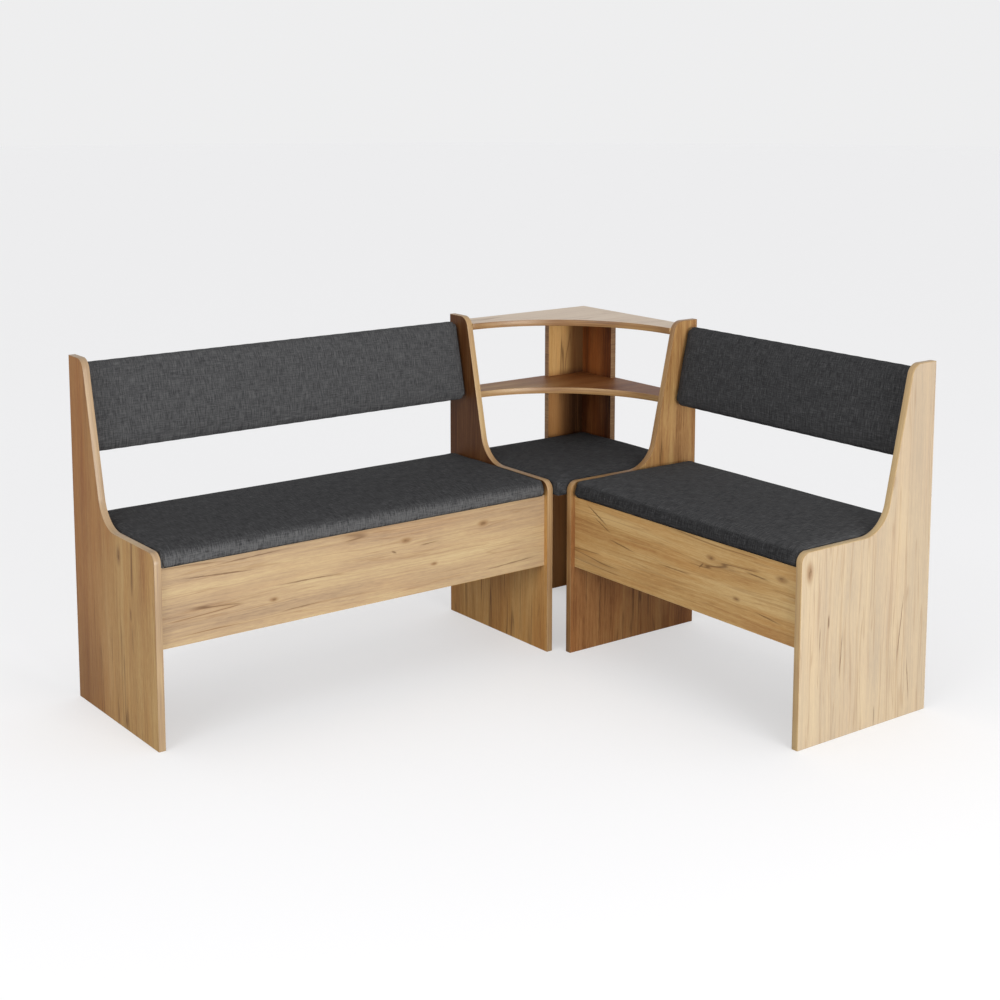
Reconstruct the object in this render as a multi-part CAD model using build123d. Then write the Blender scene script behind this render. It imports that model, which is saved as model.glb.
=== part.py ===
from build123d import *
import os
from math import ceil, cos, radians, sin, tan

# Kitchen corner bench: a long bench, a short bench and a corner unit with a seat, a post and two shelves.
# Millimetres, +Z up, origin under the middle of the footprint. The walls meet at the +X +Y corner.

# Overall sizes
long_length = 1500.0        # outer face of the long bench's outer side to the wall behind the short bench
short_length = 1213.0       # the same for the short bench
height = 798.0
corner_gap = 24.5           # front edge of one bench's inner side to the other bench's inner side

# Boards
board = 16.0                # laminated chipboard
band = 1.0                  # edge band
hardboard = 3.0

# Side profile
side_depth = 411.0
seat_level = 432.0
slant_depth = 152.0         # depth of the slanted edge where it would meet the seat level
recline = 12.4              # degrees from upright
front_r = 24.0
lap_r = 80.0
top_r = 30.0

# Storage chest
apron_bottom = 218.0
apron_top = 396.0
apron_recess = 13.0
rail_depth = 88.0           # wall to the rail's rear face
groove_height = 10.0        # lower edge of apron and rail to the chest bottom
groove_depth = 6.0
groove_play = 0.2
bottom_play = 0.5           # chest bottom to the sides

# Cam joints of apron and rail
cam_r = 7.5
cam_depth = 12.5
cam_reach = 34.0            # board end to cam centre
cam_low = 45.0              # cams above the lower edge
cam_high = 40.0             # cams below the upper edge
bolt_r = 3.5
bolt_bite = 11.0            # length of bolt inside the side
bolt_play = 0.2             # bolt's tip to the cam
cam_sides = 16              # faces round a cam
fastener_sides = 12         # faces round a bolt, screw or dowel inside the boards

# Upholstery
seat_rear = 12.0            # wall to the seat's rear edge
seat_nose = 3.0             # side's front edge to the seat's front edge
seat_gap = 2.0              # seat and back to the sides
seat_rest = 0.3             # closed seat above apron and rail
seat_rim = 36.5             # height of the pad at its edge
seat_crown = 6.0
seat_corner_r = 9.0
back_width = 203.0
back_drop = 211.0           # side's top to the back's lower front edge
back_inset = 38.0           # slanted edge to the back's front, measured level
back_rim = 26.0
back_crown = 5.0
back_corner_r = 14.0
pad_tuck = 4.0              # cover drawn in at the foot
pad_lip = 12.0              # soft shoulder at the top edge
pad_drop = 5.0              # shoulder lower at the two ends
pad_belly = 0.45            # widest level of the pad, as a share of its edge's height
pad_turns = (0, 25, 50, 90)     # degrees round a soft corner where sections stand
pad_spans = (0.15, 0.32, 0.5)   # shares of the length where the other sections stand
end_crown = 0.1             # share of the crown that is left at the two ends
crown_power = 4             # how late the crown falls away towards the ends
wrap = 9.0                  # cover and foam round the board's edge
wrap_play = 0.3

# Seat hinges
hinge_length = 60.0
hinge_leaf = 24.0
hinge_plate = 1.5
knuckle_r = 3.5
knuckle_play = 0.4
pin_r = 1.45
pin_play = 0.05
hinge_inset = 150.0         # seat end to the middle of the end hinges
hinge_spacing = 450.0       # most that two hinges stand apart

# Back brackets
bracket_arm = 30.0
bracket_leg = 20.0
bracket_width = 25.0
bracket_plate = 2.0
bracket_heights = (45.0, 115.0)

# Corner unit
corner_seat_gap = 1.0       # seat to the post's faces
cleat_width = 20.0
cleat_height = 30.0
cleat_start = 40.0          # wall to the near end of each cleat
cleat_margin = 31.0         # side's front edge to the cleat's far end
post_width = 136.0
post_cleat_end = 130.0
shelf_drop = 18.0           # side's top to the top shelf
shelf_spacing = 180.0       # top of the top shelf to the top of the middle shelf
shelf_end = 79.5            # width of a shelf where it meets a side

# Post screws and shelf dowels
screw_head_r = 4.8
screw_head = 3.5
screw_r = 3.2
screw_length = 46.0
screw_play = 0.1
post_screw_heights = (150.0, 330.0)
post_screw_drop = 90.0      # top shelf to the post's upper screw
post_shelf_screw = 80.0     # wall corner to the screws that hold the middle shelf
dowel_r = 4.0
dowel_length = 36.0
dowel_bite = 11.0           # length of dowel inside the side or the top shelf
dowel_play = 0.1
post_dowel_place = 100.0    # wall corner to the dowels on top of the post
side_dowel_depths = (22.0, 58.0)

# Places worked out from the sizes above
corner_x = long_length / 2
corner_y = short_length / 2
corner_clear = side_depth + corner_gap
bay_start = corner_clear + board
apron_front = side_depth - apron_recess
apron_rear = apron_front - board
rail_front = rail_depth + board
floor_of_chest = apron_bottom + groove_height
seat_base = apron_top + seat_rest
seat_front = side_depth - seat_nose
axis_depth = rail_depth - knuckle_r - knuckle_play
axis_height = seat_base - knuckle_r - knuckle_play
back_low = height - back_drop
shelf_top = height - shelf_drop
middle_top = shelf_top - shelf_spacing
post_top = shelf_top - board

swap_walls = Plane(origin=(0, 0, 0), z_dir=(1, -1, 0))
nodes = {}


# A bench is drawn with X along it from the corner, Y out from its wall and Z up
def place(shape, bench):
    if bench == "short":
        shape = shape.mirror(swap_walls)
    return Pos(corner_x, corner_y, 0) * Rot(0, 0, 180) * shape


def keep(name, shapes, bench="long"):
    placed = [place(solid, bench) for shape in shapes for solid in shape.solids()]
    nodes[name] = placed


def block(u0, u1, d0, d1, z0, z1):
    middle = Pos((u0 + u1) / 2, (d0 + d1) / 2, (z0 + z1) / 2)
    return middle * Box(u1 - u0, d1 - d0, z1 - z0)


def rod(start, direction, radius, length):
    return Plane(origin=start, z_dir=direction) * Cylinder(
        radius, length, align=(Align.CENTER, Align.CENTER, Align.MIN)
    )


# Hidden fasteners and their bores have few faces
def peg(start, direction, radius, length, sides=fastener_sides):
    return Plane(origin=start, z_dir=direction) * extrude(RegularPolygon(radius, sides), length)


# Depth of the sides' slanted edge at a height
def slant(z, inset=0.0):
    lean = radians(recline)
    return slant_depth - (z - seat_level) * tan(lean) - inset / cos(lean)


# Side boards
def side_outline(inset):
    front = side_depth - inset
    lap = seat_level - inset
    top = height - inset
    edge = FilletPolyline(
        (front, 0),
        (front, lap),
        (slant(lap, inset), lap),
        (slant(top, inset), top),
        (0, top),
        radius=[front_r - inset, lap_r + inset, top_r - inset],
    )
    rest = Polyline((0, top), (0, 0), (front, 0))
    return make_face(edge.edges() + rest.edges())


def upright(sketch, u0):
    return Pos(u0, 0, 0) * extrude(Plane.YZ * sketch, board)


# Screws with a flat head sunk flush in the face that they start from
def screw(start, direction, play=0.0):
    head = peg(start, direction, screw_head_r + play, screw_head + play)
    shank = peg(start, direction, screw_r + play, screw_length + play)
    return head + shank


# Blind dowels from an inner side into the ends of both shelves
def side_dowels(play=0.0):
    dowels = []
    for top in (shelf_top, middle_top):
        for depth in side_dowel_depths:
            start = (corner_clear + dowel_bite + play, depth, top - board / 2)
            dowels.append(peg(start, (-1, 0, 0), dowel_r + play, dowel_length + 2 * play))
    return dowels


# Cam joints: one disc and one bolt near each corner of the apron and the rail.
# A bolt's tip stops at its cam, and its bore opens into the cam's bore.
def cam_joints(bay_end, play=0.0):
    discs = []
    bolts = []
    tip = cam_reach if play else cam_reach - cam_r - bolt_play
    walls = (
        (apron_rear, apron_rear + board / 2, 1),
        (rail_front, rail_front - board / 2, -1),
    )
    for face, middle, inward in walls:
        for end, along in ((bay_start, 1), (bay_end, -1)):
            for z in (apron_bottom + cam_low, apron_top - cam_high):
                centre = (end + along * cam_reach, face, z)
                discs.append(peg(centre, (0, inward, 0), cam_r + play, cam_depth + play, cam_sides))
                bolt_end = (end - along * (bolt_bite + play), middle, z)
                bolts.append(peg(bolt_end, (along, 0, 0), bolt_r + play, bolt_bite + tip + play))
    return discs, bolts


# Upholstered pad lying flat, centred, with its crown up and its sides drawn in at the foot
def pad_section(half, rim, swell):
    foot = half - pad_tuck
    shoulder = half - pad_lip
    belly = rim * pad_belly
    edges = [
        Line((-foot, 0), (foot, 0)),
        ThreePointArc((foot, 0), (half, belly), (shoulder, rim)),
        ThreePointArc((shoulder, rim), (0, rim + swell), (-shoulder, rim)),
        ThreePointArc((-shoulder, rim), (-half, belly), (-foot, 0)),
    ]
    return make_face(edges)


def pad(length, width, rim, crown, corner_r):
    stations = []
    for degrees in pad_turns:
        angle = radians(degrees)
        stations.append((corner_r * (1 - cos(angle)), 1 - sin(angle)))
    for share in pad_spans:
        stations.append((length * share, 0.0))
    mirrored = [(length - along, pull) for along, pull in reversed(stations[:-1])]
    sections = []
    for along, pull in stations + mirrored:
        part_way = 2 * along / length - 1
        swell = crown * (end_crown + (1 - end_crown) * (1 - part_way**crown_power))
        section = pad_section(width / 2 - corner_r * pull, rim - pad_drop * pull, swell)
        across = Plane(origin=(along - length / 2, 0, 0), x_dir=(0, 1, 0), z_dir=(1, 0, 0))
        sections.append(across * section)
    return loft(sections, ruled=True)


def base_board(length, width, play=0.0):
    size = Box(
        length - 2 * wrap + 2 * play,
        width - 2 * wrap + 2 * play,
        board,
        align=(Align.CENTER, Align.CENTER, Align.MIN),
    )
    return size


def upholstered(length, width, rim, crown, corner_r):
    cover = pad(length, width, rim, crown, corner_r) - base_board(length, width, wrap_play)
    return base_board(length, width), cover


# Butt hinge tucked under the seat behind the rail: outer knuckles on the rail, middle one on the seat
def hinge_bore(middle):
    start = (middle - hinge_length, axis_depth, axis_height)
    return rod(start, (1, 0, 0), pin_r + pin_play, 2 * hinge_length)


def knuckle(start, length):
    return rod((start, axis_depth, axis_height), (1, 0, 0), knuckle_r, length)


def hinge_leaves(middle):
    third = hinge_length / 3
    near = middle - hinge_length / 2
    far = middle + hinge_length / 2
    plate_start = knuckle_r + 2 * knuckle_play
    knuckle_length = third - knuckle_play
    rail_leaf = block(
        near, far, rail_depth - hinge_plate, rail_depth, axis_height - hinge_leaf, axis_height - plate_start
    )
    for start in (near, far - knuckle_length):
        rail_leaf += knuckle(start, knuckle_length)
        rail_leaf += block(
            start,
            start + knuckle_length,
            rail_depth - hinge_plate,
            rail_depth,
            axis_height - plate_start,
            axis_height,
        )
    seat_leaf = block(
        near, far, axis_depth - hinge_leaf, axis_depth - plate_start, seat_base - hinge_plate, seat_base
    )
    start = near + third
    seat_leaf += knuckle(start, third)
    seat_leaf += block(
        start, start + third, axis_depth - plate_start, axis_depth, seat_base - hinge_plate, seat_base
    )
    bore = hinge_bore(middle)
    pin = rod((near, axis_depth, axis_height), (1, 0, 0), pin_r, hinge_length)
    return rail_leaf - bore, seat_leaf - bore, pin


# The back leans with the slanted edges of the sides
def lean_back(shape, middle):
    lean = radians(recline)
    front = slant(back_low) - back_inset
    foot = Vector(middle, front - back_rim * cos(lean), back_low - back_rim * sin(lean))
    stood = Rot(recline - 90, 0, 0) * Rot(0, 0, 180) * Pos(0, back_width / 2, 0) * shape
    return Pos(*foot) * stood


def back_brackets(length):
    reach = length / 2 + seat_gap
    brackets = []
    for side in (-1, 1):
        for up in bracket_heights:
            low = up - bracket_width / 2 - back_width / 2
            high = low + bracket_width
            wall = side * reach
            arm = block(
                min(wall, wall - side * bracket_arm),
                max(wall, wall - side * bracket_arm),
                low,
                high,
                -bracket_plate,
                0,
            )
            leg = block(
                min(wall, wall - side * bracket_plate),
                max(wall, wall - side * bracket_plate),
                low,
                high,
                -bracket_leg,
                0,
            )
            brackets.append(arm + leg)
    return brackets


def build_bench(bench, length):
    bay_end = length - board
    bay_middle = (bay_start + bay_end) / 2
    pad_length = bay_end - bay_start - 2 * seat_gap

    # Two sides with their bands, bored for cam bolts and shelf dowels
    cam_bores, bolt_bores = cam_joints(bay_end, screw_play)
    dowel_bores = side_dowels(dowel_play)
    core = side_outline(band)
    strip = side_outline(0) - core
    keep(bench + "_inner_side", [upright(core, corner_clear) - bolt_bores - dowel_bores], bench)
    keep(bench + "_outer_side", [upright(core, bay_end) - bolt_bores], bench)
    keep(bench + "_inner_side_band", [upright(strip, corner_clear)], bench)
    keep(bench + "_outer_side_band", [upright(strip, bay_end)], bench)

    # Chest: apron, rail and a thin bottom in their grooves
    apron = block(bay_start, bay_end, apron_rear, apron_front, apron_bottom + band, apron_top)
    rail = block(bay_start, bay_end, rail_depth, rail_front, apron_bottom, apron_top)
    groove = block(
        bay_start,
        bay_end,
        rail_front - groove_depth,
        apron_rear + groove_depth,
        floor_of_chest,
        floor_of_chest + hardboard + groove_play,
    )
    bottom = block(
        bay_start + bottom_play,
        bay_end - bottom_play,
        rail_front - groove_depth + groove_play,
        apron_rear + groove_depth - groove_play,
        floor_of_chest,
        floor_of_chest + hardboard,
    )
    keep(bench + "_front_apron", [apron - groove - cam_bores - bolt_bores], bench)
    keep(
        bench + "_apron_band",
        [block(bay_start, bay_end, apron_rear, apron_front, apron_bottom, apron_bottom + band)],
        bench,
    )
    keep(bench + "_rear_rail", [rail - groove - cam_bores - bolt_bores], bench)
    keep(bench + "_chest_bottom", [bottom], bench)
    cams, bolts = cam_joints(bay_end)
    keep(bench + "_cams", cams, bench)
    keep(bench + "_cam_bolts", bolts, bench)

    # Lifting seat and its hinges
    seat_width = seat_front - seat_rear
    seat_board, seat_cushion = upholstered(pad_length, seat_width, seat_rim, seat_crown, seat_corner_r)
    seat_place = Pos(bay_middle, (seat_front + seat_rear) / 2, seat_base)
    keep(bench + "_seat_board", [seat_place * seat_board], bench)
    keep(bench + "_seat_cushion", [seat_place * seat_cushion], bench)
    first = bay_start + hinge_inset
    span = bay_end - bay_start - 2 * hinge_inset
    steps = ceil(span / hinge_spacing)
    hinges = [hinge_leaves(first + span * number / steps) for number in range(steps + 1)]
    keep(bench + "_hinge_rail_leaves", [hinge[0] for hinge in hinges], bench)
    keep(bench + "_hinge_seat_leaves", [hinge[1] for hinge in hinges], bench)
    keep(bench + "_hinge_pins", [hinge[2] for hinge in hinges], bench)

    # Leaning back on four angle brackets
    back_board, back_cushion = upholstered(pad_length, back_width, back_rim, back_crown, back_corner_r)
    brackets = back_brackets(pad_length)
    keep(bench + "_back_board", [lean_back(back_board, bay_middle)], bench)
    keep(bench + "_back_cushion", [lean_back(back_cushion, bay_middle)], bench)
    keep(bench + "_back_brackets", [lean_back(bracket, bay_middle) for bracket in brackets], bench)


# Shelf with a quarter-round hollow towards the sitter
def shelf_outline(radius):
    hollow = Pos(corner_clear, corner_clear) * Circle(radius)
    return Pos(corner_clear / 2, corner_clear / 2) * Rectangle(corner_clear, corner_clear) - hollow


def flat(sketch, top):
    return extrude(Pos(0, 0, top - board) * sketch, board)


def post_screws(play=0.0):
    heights = post_screw_heights + (shelf_top - post_screw_drop,)
    screws = [screw((board / 2, 0, z), (0, 1, 0), play) for z in heights]
    shelf_middle = middle_top - board / 2
    screws.append(screw((post_shelf_screw, 0, shelf_middle), (0, 1, 0), play))
    screws.append(screw((0, post_shelf_screw, shelf_middle), (1, 0, 0), play))
    return screws


def post_dowels(play=0.0):
    foot = post_top + dowel_bite - dowel_length - play
    places = ((post_dowel_place, board / 2), (board / 2, post_dowel_place))
    return [peg((u, d, foot), (0, 0, 1), dowel_r + play, dowel_length + 2 * play) for u, d in places]


def both_walls(shapes):
    return list(shapes) + [shape.mirror(swap_walls) for shape in shapes]


def build_corner():
    hollow_r = corner_clear - shelf_end
    core = shelf_outline(hollow_r + band)
    strip = shelf_outline(hollow_r) - core
    end_bores = both_walls(side_dowels(dowel_play))
    back_screws = post_screws(screw_play)
    dowel_bores = post_dowels(dowel_play)

    # Post of two boards from the floor to the top shelf, and its bands
    post_core = post_width - band
    long_post = block(0, post_core, 0, board, 0, post_top)
    short_post = block(0, board, board, post_core, 0, post_top)
    post_notch = block(0, post_width, 0, board, middle_top - board, middle_top) + block(
        0, board, board, post_width, middle_top - board, middle_top
    )
    keep("post_long_wall_board", [long_post - back_screws - dowel_bores])
    keep("post_short_wall_board", [short_post - back_screws - dowel_bores])
    keep(
        "post_bands",
        [
            block(post_core, post_width, 0, board, 0, post_top),
            block(0, board, post_core, post_width, 0, post_top),
        ],
    )
    keep("post_screws", post_screws())

    # Shelves between the inner sides
    keep("top_shelf", [flat(core, shelf_top) - end_bores - dowel_bores])
    keep("top_shelf_band", [flat(strip, shelf_top)])
    keep("middle_shelf", [flat(core, middle_top) - post_notch - end_bores - back_screws])
    keep("middle_shelf_band", [flat(strip, middle_top)])
    keep("shelf_dowels", post_dowels() + both_walls(side_dowels()))

    # Fixed seat on cleats
    cleat_low = apron_top - cleat_height
    cleat_end = side_depth - cleat_margin
    cleats = [
        block(corner_clear - cleat_width, corner_clear, cleat_start, cleat_end, cleat_low, apron_top),
        block(cleat_start, post_cleat_end, board, board + cleat_width, cleat_low, apron_top),
    ]
    keep("corner_seat_cleats", both_walls(cleats))
    near = board + corner_seat_gap
    far = corner_clear - seat_gap
    size = far - near
    seat_board, seat_cushion = upholstered(size, size, seat_rim, seat_crown, seat_corner_r)
    seat_place = Pos((near + far) / 2, (near + far) / 2, apron_top)
    keep("corner_seat_board", [seat_place * seat_board])
    keep("corner_seat_cushion", [seat_place * seat_cushion])


build_bench("long", long_length)
build_bench("short", short_length)
build_corner()

os.makedirs("parts", exist_ok=True)
for name, solids in nodes.items():
    export_step(Compound(children=solids), "parts/" + name + ".step")
print(len(nodes), "nodes,", sum(len(solids) for solids in nodes.values()), "solids")
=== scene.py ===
import math
import bmesh
import bpy
from mathutils import Matrix, Vector, noise


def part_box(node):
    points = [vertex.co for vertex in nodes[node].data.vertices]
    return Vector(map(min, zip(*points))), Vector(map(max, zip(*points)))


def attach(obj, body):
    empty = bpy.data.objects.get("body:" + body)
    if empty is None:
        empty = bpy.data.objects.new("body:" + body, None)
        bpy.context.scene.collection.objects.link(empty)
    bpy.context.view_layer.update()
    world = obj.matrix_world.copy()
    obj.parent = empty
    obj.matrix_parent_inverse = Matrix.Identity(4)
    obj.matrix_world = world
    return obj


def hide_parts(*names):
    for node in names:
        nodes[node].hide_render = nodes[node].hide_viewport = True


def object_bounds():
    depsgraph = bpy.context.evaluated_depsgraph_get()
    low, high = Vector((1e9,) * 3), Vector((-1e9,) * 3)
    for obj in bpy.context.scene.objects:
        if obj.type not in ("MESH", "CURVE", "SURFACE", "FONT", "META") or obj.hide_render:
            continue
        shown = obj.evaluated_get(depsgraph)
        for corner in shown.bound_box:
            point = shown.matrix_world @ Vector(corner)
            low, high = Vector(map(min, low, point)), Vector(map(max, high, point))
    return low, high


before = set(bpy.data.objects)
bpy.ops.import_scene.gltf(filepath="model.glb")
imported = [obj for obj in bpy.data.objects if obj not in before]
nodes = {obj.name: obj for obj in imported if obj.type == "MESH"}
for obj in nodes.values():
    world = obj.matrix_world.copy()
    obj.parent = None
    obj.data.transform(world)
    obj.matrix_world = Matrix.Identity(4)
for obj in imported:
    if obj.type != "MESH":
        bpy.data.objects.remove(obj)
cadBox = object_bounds()
print("frame loaded with", len(nodes), "nodes")


# Shader maths: a wrapped socket, so that expressions add Math nodes
class Shade:
    def __init__(self, tree, socket=None):
        self.tree = tree
        self.socket = socket

    def node(self, kind, settings=None, sockets=None, out=0):
        made = self.tree.nodes.new(kind)
        for key, value in (settings or {}).items():
            if key == "stops":
                ramp = made.color_ramp
                ramp.elements.remove(ramp.elements[-1])
                ramp.elements[0].position = value[0][0]
                ramp.elements[0].color = (*value[0][1], 1)
                for spot, tint in value[1:]:
                    ramp.elements.new(spot).color = (*tint, 1)
            else:
                setattr(made, key, value)
        for key, value in (sockets or {}).items():
            if isinstance(value, Shade):
                self.tree.links.new(value.socket, made.inputs[key])
            else:
                made.inputs[key].default_value = value
        return Shade(self.tree, made.outputs[out] if made.outputs else None)

    def maths(self, operation, first, second=0.0):
        return self.node("ShaderNodeMath", {"operation": operation}, {0: first, 1: second})

    def __add__(self, other):
        return self.maths("ADD", self, other)

    def __radd__(self, other):
        return self.maths("ADD", other, self)

    def __sub__(self, other):
        return self.maths("SUBTRACT", self, other)

    def __rsub__(self, other):
        return self.maths("SUBTRACT", other, self)

    def __mul__(self, other):
        return self.maths("MULTIPLY", self, other)

    def __rmul__(self, other):
        return self.maths("MULTIPLY", other, self)

    def __truediv__(self, other):
        return self.maths("DIVIDE", self, other)

    def __rtruediv__(self, other):
        return self.maths("DIVIDE", other, self)

    def __abs__(self):
        return self.maths("ABSOLUTE", self)

    def sine(self):
        return self.maths("SINE", self)

    def fade(self, low, high):
        settings = {"interpolation_type": "SMOOTHSTEP", "clamp": True}
        return self.node("ShaderNodeMapRange", settings, {0: self, 1: low, 2: high, 3: 0.0, 4: 1.0})


# Colours are written as screen values from 0 to 255
def colour(red, green, blue):
    def linear(level):
        share = level / 255
        return share / 12.92 if share <= 0.04045 else ((share + 0.055) / 1.055) ** 2.4
    return (linear(red), linear(green), linear(blue))


def startMaterial(name):
    material = bpy.data.materials.new(name)
    material.use_nodes = True
    material.node_tree.nodes.clear()
    graph = Shade(material.node_tree)
    place = graph.node("ShaderNodeTexCoord", out="Object")
    axes = {axis: place.node("ShaderNodeSeparateXYZ", None, {0: place}, axis) for axis in "XYZ"}
    return material, graph, axes


def endMaterial(graph, sockets, bump=None):
    if bump:
        height, strength, depth = bump
        sockets["Normal"] = graph.node(
            "ShaderNodeBump", None, {"Height": height, "Strength": strength, "Distance": depth})
    shader = graph.node("ShaderNodeBsdfPrincipled", None, sockets)
    graph.node("ShaderNodeOutputMaterial", None, {"Surface": shader})


def vector(graph, x, y, z):
    return graph.node("ShaderNodeCombineXYZ", None, {0: x, 1: y, 2: z})


def evenly(graph, axes, scale):
    return vector(graph, *[axes[axis] * scale for axis in "XYZ"])


def cloudy(graph, place, detail=2.0, rough=0.5):
    sockets = {"Vector": place, "Scale": 1.0, "Detail": detail, "Roughness": rough}
    return graph.node("ShaderNodeTexNoise", None, sockets)


def mixed(graph, share, first, second, blend="MIX"):
    settings = {"data_type": "RGBA", "blend_type": blend}
    return graph.node("ShaderNodeMix", settings, {0: share, 6: first, 7: second}, 2)


# How squarely a surface looks along an axis, from 0 to 1
def facing(graph, axis):
    normal = graph.node("ShaderNodeNewGeometry", out="Normal")
    return abs(graph.node("ShaderNodeSeparateXYZ", None, {0: normal}, axis))


def ramp(graph, stops, level):
    return graph.node("ShaderNodeValToRGB", {"stops": stops}, {0: level})


# Pressed wood chips, on bare boards and on edges without a band
chipLook = {
    "flakeScale": 300.0,
    "flakeShare": 0.75,
    "fibreScale": 900.0,
    "fibreShare": 0.5,
    "tone": 0.12,
    "stops": [(0.1, colour(140, 108, 70)), (0.5, colour(186, 154, 110)), (0.95, colour(214, 188, 146))],
    "roughness": 0.85,
    "bump": 0.3,
    "bumpDepth": 0.0003,
}


def chipTint(graph, axes):
    sockets = {"Vector": evenly(graph, axes, chipLook["flakeScale"]), "Scale": 1.0, "Randomness": 1.0}
    flakes = graph.node("ShaderNodeTexVoronoi", None, sockets, "Color")
    grey = graph.node("ShaderNodeSeparateColor", None, {0: flakes})
    fine = cloudy(graph, evenly(graph, axes, chipLook["fibreScale"]))
    level = grey * chipLook["flakeShare"] + (fine - 0.5) * chipLook["fibreShare"] + chipLook["tone"]
    return ramp(graph, chipLook["stops"], level), grey + fine


# Golden oak print. Grain runs along one axis, and knots and cracks are placed one by one.
oakLook = {
    "deepest": colour(86, 52, 28),
    "dark": colour(126, 88, 50),
    "mid": colour(161, 125, 80),
    "pale": colour(178, 147, 97),
    "light": colour(195, 171, 124),
    "warm": (1.0, 0.79, 0.57),      # these three multiply the print; warm also carries painted shade, deep and shadow are painted shade
    "deep": (0.6, 0.33, 0.2),
    "shadow": (0.15, 0.085, 0.06),
    "crack": colour(84, 54, 30),
    # Painted sheen tints, mixed over the print where a board catches the light
    "paintedSheen": colour(201, 192, 170),
    "hazySheen": colour(222, 205, 190),
    "roughness": 0.46,
    "edgeRoughness": 0.85,
    "streakGloss": 0.14,
    "poreGloss": 0.1,
    "specular": 0.25,
    "bump": 0.2,
    "poreDepth": 0.0002,
    "middle": 0.5,                  # level of the print, and how far each layer moves it
    "broadShare": 0.65,
    "patchShare": 0.4,
    "streakShare": 0.4,
    "fibreShare": 0.45,
    "ringShare": 0.07,
    "ringTurns": 560.0,             # growth rings, bent by the broad layer and the patches
    "ringBroad": 34.0,
    "ringPatch": 12.0,
    "wanderScale": (2.0, 8.0, 8.0),
    "wanderWidth": 0.03,
    "glowShare": 0.4,
    "poreShare": 0.35,
    "knotLength": 2.2,              # a knot's length for a width of one
    "knotBend": 0.9,
    "knotStain": 0.6,
    "seamWidth": 0.012,             # open cracks along the grain, each with a stain beside it
    "seamShare": 0.75,
    "seamStainWidth": 0.05,
    "seamStain": 0.3,
    "veinWidth": 0.03,
    "veinStain": 0.28,
    "crackShare": 0.85,
}
# Layers of noise: scale along, across and through the grain, and a start that sets like ones apart
oakLayers = {
    "broad": {"scale": (1.1, 26.0, 20.0)},
    "patch": {"scale": (4.0, 10.0, 10.0)},
    "streaks": {"scale": (7.0, 190.0, 120.0), "detail": 3.0, "rough": 0.6},
    "fibre": {"scale": (46.0, 560.0, 400.0), "detail": 3.0, "rough": 0.6},
    "glow": {"scale": (2.4, 17.0, 17.0), "start": 11.0, "detail": 3.0},
    "pores": {"scale": (60.0, 1500.0, 1500.0), "detail": 1.0},
    "seam": {"scale": (1.2, 24.0, 24.0), "start": 7.0},
    "region": {"scale": (3.4, 14.0, 14.0), "start": 3.0, "detail": 1.0},
    "vein": {"scale": (1.7, 62.0, 62.0), "start": 5.0},
}


def oakTint(graph, level):
    spots = {0.0: "deepest", 0.2: "dark", 0.42: "mid", 0.6: "pale", 0.86: "light"}
    return ramp(graph, [(spot, oakLook[shade]) for spot, shade in spots.items()], level)


def oakLayer(graph, place, scale, start=0.0, detail=2.0, rough=0.5):
    along, across, through = [spot * size for spot, size in zip(place, scale)]
    return cloudy(graph, vector(graph, along + start, across, through), detail, rough)
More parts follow.
